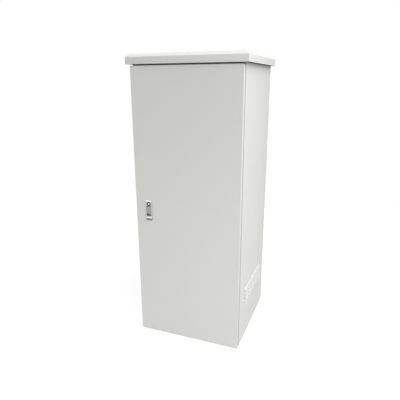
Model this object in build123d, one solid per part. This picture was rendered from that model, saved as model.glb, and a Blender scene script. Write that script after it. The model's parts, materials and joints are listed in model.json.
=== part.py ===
from build123d import *
import math
import os

os.makedirs("parts", exist_ok=True)

# Outdoor rack cabinet, in millimetres. X runs to the right as seen from the front, Y to the back,
# Z up. The origin lies on the floor at mid width and mid depth, and the door faces -Y.

# Whole cabinet
cabinet_width = 600.0
cabinet_depth = 600.0  # front of the door to the back wall
sheet = 1.6
bend = 2.4  # outside radius of a fold
overrun = 5.0  # how far a cut runs past the face it opens
running_play = 0.05  # radial play of a turning fit
gap = 0.3  # space between pieces that move past each other

# Walls
wall_low = 2.0
wall_lap = 25.0  # how far the walls reach up inside the hood
front_return = 20.0
rear_return = 22.0

# Louvres pressed out of both side walls
louvre_length = 62.0
louvre_reach = 7.0
louvre_height = 14.0
louvre_taper = 4.0
louvre_rows = 4
louvre_columns = 5
louvre_row_pitch = 23.5
louvre_column_pitch = 72.0
louvre_mid_z = 268.5

# Door
door_thick = 25.0
door_seam = 4.0  # open joint between the door and the body
door_low = 6.0
door_top = 1530.0
door_lip = 12.0
door_edge_radius = 2.5

# Door frame inside the walls
post_width = 47.0  # wall's outside to the opening
sill_height = 54.0  # door's lower edge to the opening
header_height = 52.0  # opening to the door's upper edge
frame_lip = 15.6  # how far the sealing lip stands in front of the frame's face

# Hood
hood_side_overhang = 24.0
hood_front_overhang = 6.0
hood_gap = 7.0  # open joint between the door and the hood
skirt_height = 35.0
crown_rise = 16.0
crown_inset = 20.5
spacer_across = 22.0
spacer_inset = 50.0  # from the side of the cabinet
spacer_setback = 55.5  # from the front and back of the body

# Base and floor
base_height = 30.0
base_gauge = 3.0
base_foot = 60.0
base_ledge = 25.0
anchor_radius = 7.0
anchor_inset = 42.0  # from the side of the cabinet
anchor_setback = 85.5  # from the front and back of the body
entry_width = 260.0
entry_depth = 70.0
entry_setback = 100.0  # middle of the cable entry to the back
gland_margin = 20.0
gland_gauge = 2.0
gland_slot_width = 230.0
gland_slot_depth = 40.0
seal_overlap = 8.0
seal_thick = 6.0

# Nineteen inch mounting rails
rail_gauge = 2.0
rail_end_gap = 10.0  # rail's ends to the opening
rail_face = 33.5
rail_flank = 30.0
rail_inset = 42.0  # from the side of the cabinet
rail_setback = 100.0  # from the front of the door and from the back
rail_hole = 9.5
rail_hole_inset = 25.45  # hole's middle to the rail's outer side
rack_pitch = 44.45
rack_count = 28
unit_holes = (6.35, 38.1)
rear_unit_step = 4
support_height = 40.0
support_front_gap = 27.8  # from the door frame
support_rear_gap = 26.0  # from the rear folds
support_rise = 40.0  # lower support above the rail's foot
support_drop = 28.0  # upper support below the rail's head
bolt_across = 10.0
bolt_head = 6.0

# Filter pockets behind the louvres
filter_half_length = 192.0
filter_half_height = 72.0
filter_depth = 16.0
filter_border = 14.0
mat_play = 0.5

# Fan under the top plate
fan_size = 120.0
fan_height = 38.0
fan_bore = 57.5
fan_flange = 5.0
motor_width = 36.0
motor_plate = 4.0
strut_width = 6.0
hub_radius = 19.0
hub_height = 26.0
blade_count = 4
blade_root = 17.0
blade_tip = 53.0
blade_chord_root = 26.0
blade_chord_tip = 34.0
blade_thick = 1.6
blade_angle = 38.0
slot_count = 7
slot_pitch = 15.0
slot_width = 8.0
slot_circle = 55.0

# Earth bar
earth_length = 200.0
earth_height = 25.0
earth_thick = 4.0
earth_z = 95.0
insulator_across = 18.0
insulator_length = 26.4
insulator_x = 70.0

# Hinges hidden behind the door's right edge
hinge_inset = 8.0  # axis to the door's right edge
hinge_depth = 10.0  # axis to the door's back plane
hinge_end = 144.0  # outer hinges to the ends of the door
arm_inset = 36.0  # arm's root to the side of the cabinet
arm_width = 4.0
arm_thick = 30.0
arm_front = 6.5  # how far the arm passes in front of the axis
eye_half = 5.0
eye_corner = 2.5  # cut off the eye's corners, so that the door's edge fold can pass
pintle_height = 60.0
pin_radius = 3.0
pin_end = 2.0

# Door stiffeners and gasket
stiffener_width = 36.0
stiffener_depth = 12.4
stiffener_low_gap = 104.0
stiffener_high_gap = 110.0
stiffener_left_inset = 150.0
stiffener_right_inset = 110.0
gasket_width = 14.0
gasket_margin = 6.0

# Handle with its lock
handle_inset = 78.0  # middle of the handle to the door's left edge
handle_rise = 1.0  # above mid height of the door
flange_width = 36.0
flange_height = 116.0
flange_thick = 3.0
flange_radius = 7.0
flange_edge = 1.2
handle_seal = 1.0
dish_width = 31.0
dish_height = 106.0
dish_depth = 17.0
cutout_play = 0.5
pocket_width = 29.0
pocket_drop = 34.0  # pocket's ends, below and above the handle's middle
pocket_rise = 24.5
pocket_depth = 17.5
clamp_half = 23.0
clamp_height = 20.0
clamp_drop = 19.0
lever_width = 28.0
lever_pivot_rise = 15.5
lever_pivot_depth = 7.5  # behind the flange's front
lever_round = 8.5
lever_drop = 16.5
lever_end_thick = 6.0
lever_bulge = 1.4
lever_pin_radius = 2.0

# Lock core, cam and rods
core_rise = 36.5  # above the handle's middle
core_radius = 9.0
core_recess = 0.6
key_ring_radius = 6.4
key_pin_radius = 3.6  # centre to corner of the three sided key pin
key_pin_turn = 90.0
key_depth = 9.0
tail_width = 8.0
cam_throw = 18.0
cam_width = 16.0
cam_thick = 4.0
cam_angle = 45.0
cam_pin_radius = 3.0
cam_pin_length = 5.0
rod_play = 0.8  # rod to keeper
rod_thick = 4.0
rod_width = 12.0
yoke_height = 18.0
yoke_border = 4.4
yoke_play_x = 0.4
yoke_play_z = 0.85
rod_clear = 4.0  # rod tip to the frame's edge while drawn back
guide_gauge = 2.0
guide_width = 18.0
guide_foot = 22.0
guide_reach = 6.0
guide_upper_drop = 128.0  # from the ends of the opening
guide_lower_rise = 130.0
keeper_width = 30.0
keeper_height = 24.0
keeper_thick = 3.0
keeper_inset = 2.0

# Places that follow from the values above
side = cabinet_width / 2
door_front = -cabinet_depth / 2
door_back = door_front + door_thick
door_inside = door_front + sheet
body_front = door_back + door_seam
body_back = cabinet_depth / 2
wall_inside = side - sheet
back_inside = body_back - sheet
fold_room = bend - sheet  # room that the inside of a fold takes up
rear_seat = back_inside - sheet - fold_room
frame_front = body_front + sheet
frame_back = frame_front + sheet
lip_tip = frame_front - frame_lip
skirt_low = door_top + hood_gap
hood_top = skirt_low + skirt_height + crown_rise
wall_top = skirt_low + wall_lap
opening_low = door_low + sill_height
opening_top = door_top - header_height
rail_low = opening_low + rail_end_gap
rail_high = opening_top - rail_end_gap
support_lower_z = rail_low + support_rise
support_upper_z = rail_high - support_drop - support_height
door_mid_z = (door_low + door_top) / 2
hinge_heights = {"lower": door_low + hinge_end, "middle": door_mid_z, "upper": door_top - hinge_end}
stiffener_low = door_low + stiffener_low_gap
stiffener_high = door_top - stiffener_high_gap
guide_upper_z = opening_top - guide_upper_drop
guide_lower_z = opening_low + guide_lower_rise
body_mid_y = (body_front + body_back) / 2
half_depth = (body_back - body_front) / 2
opening_half = side - post_width
spacer_x = side - spacer_inset
spacer_y = half_depth - spacer_setback
anchor_x = side - anchor_inset
anchor_y = half_depth - anchor_setback
entry_mid_y = body_back - entry_setback
rail_outer = side - rail_inset
rail_y = body_back - rail_setback
rail_hole_x = rail_outer - rail_hole_inset
support_front = frame_back + support_front_gap
support_rear = rear_seat - support_rear_gap
fan_y = body_mid_y
arm_root_x = side - arm_inset
stiffener_spots = {"left": stiffener_left_inset - side, "right": side - stiffener_right_inset}
handle_x = handle_inset - side
handle_z = door_mid_z + handle_rise
pocket_low = handle_z - pocket_drop
pocket_high = handle_z + pocket_rise
clamp_z = handle_z - clamp_drop
lever_pivot_z = handle_z + lever_pivot_rise
lever_low = handle_z - lever_drop
core_z = handle_z + core_rise
floor_top = base_height + sheet
axis_x = side - hinge_inset
axis_y = door_back - hinge_depth
flange_front = door_front - handle_seal - flange_thick
flange_back = door_front - handle_seal
lever_pivot_y = flange_front + lever_pivot_depth
dish_back = flange_back + dish_depth
rod_front = frame_back + keeper_thick + rod_play
cam_back = rod_front - gap
pin_offset = cam_throw * math.cos(math.radians(cam_angle))
rod_offset = (cam_throw + pin_offset) / 2


# Box between the low and high limits along each axis
def block(xs, ys, zs):
    size = (xs[1] - xs[0], ys[1] - ys[0], zs[1] - zs[0])
    return Pos(xs[0], ys[0], zs[0]) * Box(*size, align=(Align.MIN, Align.MIN, Align.MIN))


# Sheet folded along a line of points: the line is its outer side, and the sheet lies on one side of it.
# Folds that show outside are rounded.
def folded(plane, points, length, hand, gauge=sheet, rounded=False):
    line = FilletPolyline(*points, radius=bend) if rounded else Polyline(*points)
    outline = offset(line, amount=gauge, side=hand, kind=Kind.INTERSECTION, closed=True)
    return extrude(plane * make_face(outline.edges()), amount=length)


# Plate that stands upright behind the given front plane
def upright(shape, x, z, front, back):
    return extrude(Plane.XZ.offset(-back) * Pos(x, z) * shape, amount=back - front)


# Round bar along Y
def rod_y(radius, x, z, front, back):
    return extrude(Plane.XZ.offset(-back) * Pos(x, z) * Circle(radius), amount=back - front)


# Six sided head or spacer standing along Z
def hexagon(across, height):
    shape = RegularPolygon(radius=across / 2, side_count=6, major_radius=False)
    return extrude(shape, amount=height)


def mirrored(piece):
    return mirror(piece, about=Plane.YZ)


# Louvre form with its open side down: x along the wall, y outward, z up
def louvre_form(length):
    size = (length, louvre_reach, louvre_height)
    lip = (louvre_taper, 0, length - louvre_taper, sheet)
    return Wedge(*size, *lip, align=(Align.CENTER, Align.MIN, Align.MIN))


def right_wall():
    plan = [
        (side - front_return, body_front),
        (side, body_front),
        (side, back_inside),
        (side - rear_return, back_inside),
    ]
    wall = folded(Plane.XY.offset(wall_low), plan, wall_top - wall_low, Side.LEFT, rounded=True)
    low_z = louvre_mid_z - (louvre_rows - 1) * louvre_row_pitch / 2 - louvre_height / 2
    low_y = body_mid_y - (louvre_columns - 1) * louvre_column_pitch / 2
    spots = [
        Pos(side, low_y + column * louvre_column_pitch, low_z + row * louvre_row_pitch) * Rot(Z=-90)
        for row in range(louvre_rows)
        for column in range(louvre_columns)
    ]
    hollow = Pos(0, -sheet, 0) * louvre_form(louvre_length - 2 * sheet)
    wall += [spot * louvre_form(louvre_length) for spot in spots]
    wall -= [spot * hollow for spot in spots]
    return wall


def back_wall():
    return block((-side, side), (back_inside, body_back), (wall_low, wall_top))


# Door frame post: a face lapped behind the wall's return and a sealing lip that stands forward
def right_post():
    plan = [(opening_half, lip_tip), (opening_half, frame_back), (wall_inside - fold_room, frame_back)]
    post = folded(Plane.XY.offset(wall_low), plan, wall_top - wall_low, Side.RIGHT)
    before_face = (lip_tip - overrun, frame_front)
    across = (opening_half - overrun, wall_inside)
    post -= block(across, before_face, (wall_low - overrun, opening_low - sheet))
    post -= block(across, before_face, (opening_top + sheet, wall_top + overrun))
    return post


def header():
    section = [(lip_tip, opening_top), (frame_back, opening_top), (frame_back, wall_top)]
    return folded(Plane.YZ.offset(-opening_half), section, 2 * opening_half, Side.LEFT)


def sill():
    section = [(lip_tip, opening_low), (frame_back, opening_low), (frame_back, wall_low)]
    return folded(Plane.YZ.offset(-opening_half), section, 2 * opening_half, Side.RIGHT)


# Top plate with flanges along both walls and a row of slots over the fan
def top_plate():
    section = [
        (-wall_inside, wall_top - base_ledge),
        (-wall_inside, wall_top),
        (wall_inside, wall_top),
        (wall_inside, wall_top - base_ledge),
    ]
    plate = folded(Plane.XZ.offset(-rear_seat), section, rear_seat - frame_back, Side.RIGHT)
    for number in range(slot_count):
        across = (number - (slot_count - 1) / 2) * slot_pitch
        half = math.sqrt(slot_circle**2 - across**2)
        plate -= Pos(across, fan_y, wall_top) * Box(slot_width, 2 * half, 2 * overrun)
    return plate


# Hood: upright skirt and a crown that slopes in on all four sides, open underneath
def hood():
    width = cabinet_width + 2 * hood_side_overhang
    depth = cabinet_depth + 2 * hood_front_overhang
    skirt_top = Plane.XY.offset(skirt_low + skirt_height)
    outer = extrude(Plane.XY.offset(skirt_low) * Rectangle(width, depth), amount=skirt_height)
    ridge = Plane.XY.offset(hood_top) * Rectangle(width - 2 * crown_inset, depth - 2 * crown_inset)
    outer += loft([skirt_top * Rectangle(width, depth), ridge])
    underside = outer.faces().sort_by(Axis.Z)[0]
    return offset(outer, amount=-sheet, openings=underside)


def spacer_spots():
    return [(x, body_mid_y + y) for x in (-spacer_x, spacer_x) for y in (-spacer_y, spacer_y)]


def hood_spacers():
    height = hood_top - sheet - wall_top
    return Compound([Pos(x, y, wall_top) * hexagon(spacer_across, height) for x, y in spacer_spots()])


def hood_bolts():
    low = wall_top - sheet - bolt_head
    return Compound([Pos(x, y, low) * hexagon(bolt_across, bolt_head) for x, y in spacer_spots()])


# Base: one ring of channel that opens inward, with a wide foot on the floor and a ledge for the floor plate
def base_frame():
    def ring(inset, low, high):
        along = (frame_back + inset, rear_seat - inset)
        return block((inset - wall_inside, wall_inside - inset), along, (low, high))

    base = ring(0, 0, base_height)
    base -= ring(base_gauge, base_gauge, base_height - base_gauge)
    base -= ring(base_foot, -overrun, base_height / 2)
    base -= ring(base_ledge, base_height / 2, base_height + overrun)
    for x in (-anchor_x, anchor_x):
        for y in (-anchor_y, anchor_y):
            base -= Pos(x, body_mid_y + y, 0) * Cylinder(anchor_radius, 4 * base_gauge)
    return base


def entry_block(width, depth, low, high):
    along = (entry_mid_y - depth / 2, entry_mid_y + depth / 2)
    return block((-width / 2, width / 2), along, (low, high))


def floor_plate():
    plate = block((-wall_inside, wall_inside), (frame_back, rear_seat), (base_height, floor_top))
    return plate - entry_block(entry_width, entry_depth, base_height - overrun, floor_top + overrun)


def gland_plate():
    size = (entry_width + 2 * gland_margin, entry_depth + 2 * gland_margin)
    plate = entry_block(*size, floor_top, floor_top + gland_gauge)
    return plate - entry_block(gland_slot_width, gland_slot_depth, 0, floor_top + overrun)


# Two rubber strips that meet over the cable slot
def cable_seal():
    low = floor_top + gland_gauge
    half_width = gland_slot_width / 2 + seal_overlap
    reach = gland_slot_depth / 2 + seal_overlap
    across, upright_span = (-half_width, half_width), (low, low + seal_thick)
    front = block(across, (entry_mid_y - reach, entry_mid_y - gap / 2), upright_span)
    rear = block(across, (entry_mid_y + gap / 2, entry_mid_y + reach), upright_span)
    return Compound([front, rear])


# Channel along the wall that carries a front and a rear rail
def right_support(low):
    section = [
        (wall_inside, low),
        (rail_outer, low),
        (rail_outer, low + support_height),
        (wall_inside, low + support_height),
    ]
    plane = Plane.XZ.offset(-support_rear)
    return folded(plane, section, support_rear - support_front, Side.RIGHT, rail_gauge)


# Mounting angle with square holes at the given heights within each rack unit, in every unit or in each few
def right_rail(unit_step, holes):
    plan = [
        (rail_outer - rail_face, -rail_y),
        (rail_outer, -rail_y),
        (rail_outer, rail_flank - rail_y),
    ]
    rail = folded(Plane.XY.offset(rail_low), plan, rail_high - rail_low, Side.LEFT, rail_gauge)
    first = (rail_low + rail_high - rack_count * rack_pitch) / 2
    hole = Box(rail_hole, 4 * rail_gauge, rail_hole)
    units = range(0, rack_count, unit_step)
    heights = [first + unit * rack_pitch + height for unit in units for height in holes]
    return rail - [Pos(rail_hole_x, -rail_y, height) * hole for height in heights]


def rail_bolts():
    head = Rot(Y=-90) * hexagon(bolt_across, bolt_head)
    heads = []
    for low in (support_lower_z, support_upper_z):
        for y in (rail_flank / 2 - rail_y, rail_y - rail_flank / 2):
            right = Pos(rail_outer - rail_gauge, y, low + support_height / 2) * head
            heads += [right, mirrored(right)]
    return Compound(heads)


def filter_span(inset):
    along = (body_mid_y - filter_half_length + inset, body_mid_y + filter_half_length - inset)
    return along, (louvre_mid_z - filter_half_height + inset, louvre_mid_z + filter_half_height - inset)


# Pocket on the wall that holds a filter mat: its window faces inward, and the mat lifts out at the top
def right_filter_frame():
    face = wall_inside - filter_depth
    pocket_along, pocket_up = filter_span(sheet)
    window_along, window_up = filter_span(filter_border)
    frame = block((face, wall_inside), *filter_span(0))
    frame -= block((face + sheet, wall_inside + overrun), pocket_along, (pocket_up[0], wall_top))
    return frame - block((face - overrun, face + filter_depth / 2), window_along, window_up)


def right_filter_mat():
    along, upright_span = filter_span(sheet)
    face = wall_inside - filter_depth + sheet
    return block((face, wall_inside), (along[0] + mat_play, along[1] - mat_play), upright_span)


# Square fan body with a round bore, struts and a motor plate
def fan_housing():
    floor = Plane.XY.offset(wall_top - sheet - fan_height)
    body = extrude(floor * (Rectangle(fan_size, fan_size) - Circle(fan_bore)), amount=fan_height)
    struts = Rectangle(motor_width, motor_width)
    struts += Rectangle(2 * fan_bore + fan_flange, strut_width)
    struts += Rectangle(strut_width, 2 * fan_bore + fan_flange)
    return Pos(0, fan_y, 0) * (body + extrude(floor * struts, amount=motor_plate))


# Fan rotor: a hub and flat pitched blades that widen towards their tips
def fan_rotor():
    low = wall_top - sheet - fan_height + motor_plate + gap
    hub = extrude(Plane.XY.offset(low) * Circle(hub_radius), amount=hub_height)
    root, tip = blade_chord_root / 2, blade_chord_tip / 2
    outline = Polyline(
        (blade_root, -root), (blade_tip, -tip), (blade_tip, tip), (blade_root, root), close=True
    )
    blade = extrude(make_face(outline.edges()), amount=blade_thick / 2, both=True)
    blade = Pos(0, 0, low + hub_height / 2) * Rot(X=blade_angle) * blade
    hub += [Rot(Z=360 / blade_count * number) * blade for number in range(blade_count)]
    return Pos(0, fan_y, 0) * hub


def earth_bar():
    front = back_inside - insulator_length - earth_thick
    along = (front, front + earth_thick)
    return block((-earth_length / 2, earth_length / 2), along, (earth_z, earth_z + earth_height))


def earth_insulators():
    post = Rot(X=90) * hexagon(insulator_across, insulator_length)
    height = earth_z + earth_height / 2
    return Compound([Pos(x, back_inside, height) * post for x in (-insulator_x, insulator_x)])


# Gooseneck arm of a hidden hinge: it leaves the frame, passes in front of the axis and ends in an eye
def hinge_arm(height):
    front = axis_y - arm_front
    plan = [(arm_root_x, frame_front), (arm_root_x, front), (axis_x + eye_half, front)]
    line = offset(Polyline(*plan), amount=arm_width, side=Side.LEFT, kind=Kind.INTERSECTION, closed=True)
    outline = make_face(line.edges())
    eye = Rectangle(2 * eye_half, 2 * eye_half)
    outline += Pos(axis_x, axis_y) * chamfer(eye.vertices(), eye_corner)
    outline -= Pos(axis_x, axis_y) * Circle(pin_radius + running_play)
    return extrude(Plane.XY.offset(height) * outline, amount=arm_thick)


# Block on the door's edge fold with the pin that drops into the arm's eye
def hinge_pintle(height):
    low = height + arm_thick + gap
    along = (axis_y - eye_half, axis_y + eye_half)
    pintle = block((axis_x - eye_half, wall_inside), along, (low, low + pintle_height))
    pin = Plane.XY.offset(low) * Pos(axis_x, axis_y) * Circle(pin_radius)
    return pintle + extrude(pin, amount=-arm_thick - gap - pin_end)


# Door pan: rounded front edges, folds all round, and a lip on every fold but the hinge side's
def door_panel():
    pan = block((-side, side), (door_front, door_back), (door_low, door_top))
    front = pan.faces().sort_by(Axis.Y)[0]
    pan = fillet(front.edges(), door_edge_radius)
    inside = (door_low + sheet, door_top - sheet)
    pan -= block((-wall_inside, wall_inside), (door_inside, door_back - sheet), inside)
    mouth = (door_low + door_lip, door_top - door_lip)
    pan -= block((door_lip - side, wall_inside), (door_inside, door_back + overrun), mouth)
    cutout = Rectangle(dish_width + 2 * cutout_play, dish_height + 2 * cutout_play)
    return pan - upright(cutout, handle_x, handle_z, door_front - overrun, door_inside + overrun)


def door_stiffener(x):
    half = stiffener_width / 2
    back = door_inside + stiffener_depth
    plan = [(x - half, door_inside), (x - half, back), (x + half, back), (x + half, door_inside)]
    plane = Plane.XY.offset(stiffener_low)
    return folded(plane, plan, stiffener_high - stiffener_low, Side.RIGHT)


# Foam ring on the door, just short of the frame's lip
def door_gasket():
    along = (door_inside, lip_tip - gap)
    outer_half = opening_half - gasket_margin + gasket_width
    inner_half = opening_half - gasket_margin
    low, high = opening_low + gasket_margin, opening_top - gasket_margin
    ring = block((-outer_half, outer_half), along, (low - gasket_width, high + gasket_width))
    through = (door_inside - overrun, lip_tip + overrun)
    return ring - block((-inner_half, inner_half), through, (low, high))


# Handle dish: a rounded flange on the door and a deep body with a pocket for the lever and a bore
def handle_dish():
    plate = RectangleRounded(flange_width, flange_height, flange_radius)
    flange = upright(plate, handle_x, handle_z, flange_front, flange_back)
    dish = chamfer(flange.faces().sort_by(Axis.Y)[0].edges(), flange_edge)
    body = Rectangle(dish_width, dish_height)
    dish += upright(body, handle_x, handle_z, flange_back, dish_back)
    pocket = Rectangle(pocket_width, pocket_high - pocket_low)
    middle = (pocket_low + pocket_high) / 2
    dish -= upright(pocket, handle_x, middle, flange_front - overrun, flange_front + pocket_depth)
    bore = Circle(core_radius + running_play)
    return dish - upright(bore, handle_x, core_z, flange_front - overrun, dish_back + overrun)


# Flat seal between the flange and the door, a little inside the flange's edge
def handle_gasket():
    shape = Rectangle(flange_width - flange_edge, flange_height - flange_edge)
    shape = chamfer(shape.vertices(), flange_radius)
    shape -= Rectangle(dish_width, dish_height)
    plane = Plane.XZ.offset(-door_front)
    return extrude(plane * Pos(handle_x, handle_z) * shape, amount=handle_seal)


# Bridge behind the door skin that pulls the dish tight
def handle_clamp():
    back = dish_back + sheet
    left, right = handle_x - clamp_half, handle_x + clamp_half
    plan = [(left, door_inside), (left, back), (right, back), (right, door_inside)]
    plane = Plane.XY.offset(clamp_z - clamp_height / 2)
    return folded(plane, plan, clamp_height, Side.RIGHT)


def clamp_bolt():
    head = Rot(X=-90) * hexagon(bolt_across, bolt_head)
    return Pos(handle_x, dish_back + sheet, clamp_z) * head


# Pull lever: round at its pivot, a slightly bowed face, and a thin end over the finger recess
def lever():
    front = lever_pivot_y - lever_round
    back = lever_pivot_y + lever_round
    half_low = (lever_pivot_z + lever_low) / 2
    top = ThreePointArc(
        (front, lever_pivot_z), (lever_pivot_y, lever_pivot_z + lever_round), (back, lever_pivot_z)
    )
    heel = Line((back, lever_pivot_z), (front + lever_end_thick, half_low))
    rear = Line((front + lever_end_thick, half_low), (front + lever_end_thick, lever_low))
    foot = Line((front + lever_end_thick, lever_low), (front, lever_low))
    bowed = ThreePointArc((front, lever_low), (front + lever_bulge, half_low), (front, lever_pivot_z))
    shape = make_face([top, heel, rear, foot, bowed])
    grip = extrude(Plane.YZ.offset(handle_x - lever_width / 2) * shape, amount=lever_width)
    bore = Rot(Y=90) * Cylinder(lever_pin_radius + running_play, 2 * lever_width)
    return grip - Pos(handle_x, lever_pivot_y, lever_pivot_z) * bore


def lever_pin():
    pin = Rot(Y=90) * Cylinder(lever_pin_radius, pocket_width)
    return Pos(handle_x, lever_pivot_y, lever_pivot_z) * pin


# Lock core: a round plug with a ring keyway around a three sided pin, and a square tail for the cam
def lock_core():
    front = flange_front + core_recess
    core = rod_y(core_radius, handle_x, core_z, front, dish_back)
    keyway = Circle(key_ring_radius) - RegularPolygon(key_pin_radius, side_count=3, rotation=key_pin_turn)
    plane = Plane.XZ.offset(-front)
    core -= extrude(plane * Pos(handle_x, core_z) * keyway, amount=-key_depth)
    tail = Plane.XZ.offset(-cam_back) * Pos(handle_x, core_z) * Rectangle(tail_width, tail_width)
    return core + extrude(tail, amount=cam_back - dish_back)


# Cam on the square tail, with a pin for each rod
def lock_cam():
    plane = Plane.XZ.offset(-cam_back)
    bar = Rectangle(2 * cam_throw + cam_width, cam_width)
    shape = Rot(Z=cam_angle) * chamfer(bar.vertices(), cam_width / 4)
    shape -= Rectangle(tail_width + 2 * running_play, tail_width + 2 * running_play)
    cam = extrude(plane * Pos(handle_x, core_z) * shape, amount=cam_thick)
    for way in (-pin_offset, pin_offset):
        cam += rod_y(cam_pin_radius, handle_x + way, core_z + way, cam_back, cam_back + cam_pin_length)
    return cam


# Flat rod with a cross slot at the cam's pin; way is -1 for the rod that runs up and 1 for the one down
def lock_rod(way):
    slot_low = pin_offset - cam_pin_radius - yoke_play_x
    slot_high = cam_throw + cam_pin_radius + yoke_play_x
    slot_z = core_z + way * pin_offset
    tip = opening_top - rod_clear if way < 0 else opening_low + rod_clear
    middle_x = handle_x + way * (slot_low + slot_high) / 2
    yoke = Rectangle(slot_high - slot_low + 2 * yoke_border, yoke_height)
    bar = Pos(handle_x + way * rod_offset, (tip + slot_z) / 2) * Rectangle(rod_width, abs(tip - slot_z))
    shape = Pos(middle_x, slot_z) * yoke + bar
    slot = Rectangle(slot_high - slot_low, 2 * (cam_pin_radius + yoke_play_z))
    shape -= Pos(middle_x, slot_z) * slot
    return extrude(Plane.XZ.offset(-rod_front - rod_thick) * shape, amount=rod_thick)


# Bracket on the door skin with a square eye that guides a rod
def rod_guide(way, height):
    middle = handle_x + way * rod_offset
    back = rod_front + rod_thick + guide_reach
    section = [(door_inside, height + guide_foot), (door_inside, height), (back, height)]
    plane = Plane.YZ.offset(middle - guide_width / 2)
    guide = folded(plane, section, guide_width, Side.LEFT, guide_gauge)
    half = rod_width / 2 + gap
    along = (rod_front - gap, rod_front + rod_thick + gap)
    return guide - block((middle - half, middle + half), along, (height - overrun, height + overrun))


def keeper(way, low):
    middle = handle_x + way * rod_offset
    across = (middle - keeper_width / 2, middle + keeper_width / 2)
    return block(across, (frame_back, frame_back + keeper_thick), (low, low + keeper_height))


def write(name, piece):
    export_step(piece, f"parts/{name}.step")


def write_pair(name, right):
    write(f"right_{name}", right)
    write(f"left_{name}", mirrored(right))


def write_rails():
    front = right_rail(1, unit_holes)
    rear = mirror(right_rail(rear_unit_step, unit_holes[:1]), about=Plane.XZ)
    write("front_right_rail", front)
    write("front_left_rail", mirrored(front))
    write("rear_right_rail", rear)
    write("rear_left_rail", mirrored(rear))


def write_body():
    for piece in (back_wall, header, sill, top_plate, hood, hood_spacers, hood_bolts):
        write(piece.__name__, piece())
    for piece in (base_frame, floor_plate, gland_plate, cable_seal, rail_bolts):
        write(piece.__name__, piece())
    write_pair("wall", right_wall())
    write_pair("post", right_post())
    write_pair("lower_support", right_support(support_lower_z))
    write_pair("upper_support", right_support(support_upper_z))
    write_pair("filter_frame", right_filter_frame())
    write_pair("filter_mat", right_filter_mat())
    write_rails()
    for piece in (fan_housing, fan_rotor, earth_bar, earth_insulators):
        write(piece.__name__, piece())


def write_door():
    for piece in (door_panel, door_gasket, handle_dish, handle_gasket, handle_clamp, clamp_bolt):
        write(piece.__name__, piece())
    for piece in (lever, lever_pin, lock_core, lock_cam):
        write(piece.__name__, piece())
    for label, x in stiffener_spots.items():
        write(f"{label}_stiffener", door_stiffener(x))
    for label, height in hinge_heights.items():
        write(f"{label}_hinge_arm", hinge_arm(height))
        write(f"{label}_hinge_pintle", hinge_pintle(height))
    write("upper_rod", lock_rod(-1))
    write("lower_rod", lock_rod(1))
    write("upper_guide", rod_guide(-1, guide_upper_z))
    write("lower_guide", rod_guide(1, guide_lower_z))
    write("upper_keeper", keeper(-1, opening_top + keeper_inset))
    write("lower_keeper", keeper(1, opening_low - keeper_inset - keeper_height))


write_body()
write_door()
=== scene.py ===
import json
import math
import bmesh
import bpy
import numpy as np
from mathutils import Matrix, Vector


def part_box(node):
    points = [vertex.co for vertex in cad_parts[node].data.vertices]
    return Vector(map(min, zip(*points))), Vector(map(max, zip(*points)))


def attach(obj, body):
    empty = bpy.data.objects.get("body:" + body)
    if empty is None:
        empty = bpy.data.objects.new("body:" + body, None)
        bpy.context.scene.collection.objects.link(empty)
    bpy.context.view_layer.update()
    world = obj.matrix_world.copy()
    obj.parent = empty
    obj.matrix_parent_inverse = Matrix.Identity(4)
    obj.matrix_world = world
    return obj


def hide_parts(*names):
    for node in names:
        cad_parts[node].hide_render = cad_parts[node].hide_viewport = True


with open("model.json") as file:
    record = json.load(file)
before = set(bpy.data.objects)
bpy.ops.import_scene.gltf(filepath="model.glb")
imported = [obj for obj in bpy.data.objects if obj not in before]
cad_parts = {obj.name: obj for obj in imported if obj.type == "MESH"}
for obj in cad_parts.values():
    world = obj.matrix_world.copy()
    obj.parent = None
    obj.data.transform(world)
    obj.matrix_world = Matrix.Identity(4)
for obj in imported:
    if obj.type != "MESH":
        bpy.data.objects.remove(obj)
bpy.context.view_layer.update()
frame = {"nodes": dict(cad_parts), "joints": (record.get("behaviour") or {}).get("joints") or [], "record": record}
nodes = frame["nodes"]
mm = 0.001  # shapes below are worked out in millimetres
mergeReach = 2e-6  # points closer than this, in metres, are one point
print("frame loaded:", len(nodes), "nodes")


# lowest and highest corner of a CAD node, in millimetres
def nodeBox(name):
    low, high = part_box(name)
    return np.round(np.array(low) / mm, 3), np.round(np.array(high) / mm, 3)


# a point on a joint's axis, in millimetres
def jointPlace(name):
    place = next(joint["pos_m"] for joint in frame["joints"] if joint["name"] == name)
    return np.round(np.array(place) / mm, 3)


# boxes and axes that the shapes below follow
hoodLow, hoodHigh = nodeBox("hood")
wallLow, wallHigh = nodeBox("right_wall")
backHigh = nodeBox("back_wall")[1]
doorLow, doorHigh = nodeBox("door_panel")
gasketLow, gasketHigh = nodeBox("door_gasket")
dishLow, dishHigh = nodeBox("handle_dish")
leverLow, leverHigh = nodeBox("lever")
lockLow, lockHigh = nodeBox("lock_core")
railLow, railHigh = nodeBox("front_right_rail")
fanLow, fanHigh = nodeBox("fan_rotor")
matLow, matHigh = nodeBox("right_filter_mat")
sealLow, sealHigh = nodeBox("cable_seal")
leverPivot, lockPivot, fanPivot = (jointPlace(name) for name in ("lever_lift", "lock_turn", "fan_spin"))


# quads of a grid of points; a wrapped direction joins its last line to its first
def gridQuads(rows, cols, wrapRows=False, wrapCols=False):
    r, c = np.meshgrid(np.arange(rows - (not wrapRows)), np.arange(cols - (not wrapCols)), indexing="ij")
    r2, c2 = (r + 1) % rows, (c + 1) % cols
    return np.stack([r * cols + c, r * cols + c2, r2 * cols + c2, r2 * cols + c], -1).reshape(-1, 4)


# faces of a closed tube: quads from ring to ring, and a lid on the first ring and on the last
def tubeFaces(rows, cols):
    ring = np.arange(cols)
    return [*gridQuads(rows, cols, wrapCols=True), ring, (rows - 1) * cols + ring]


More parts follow.
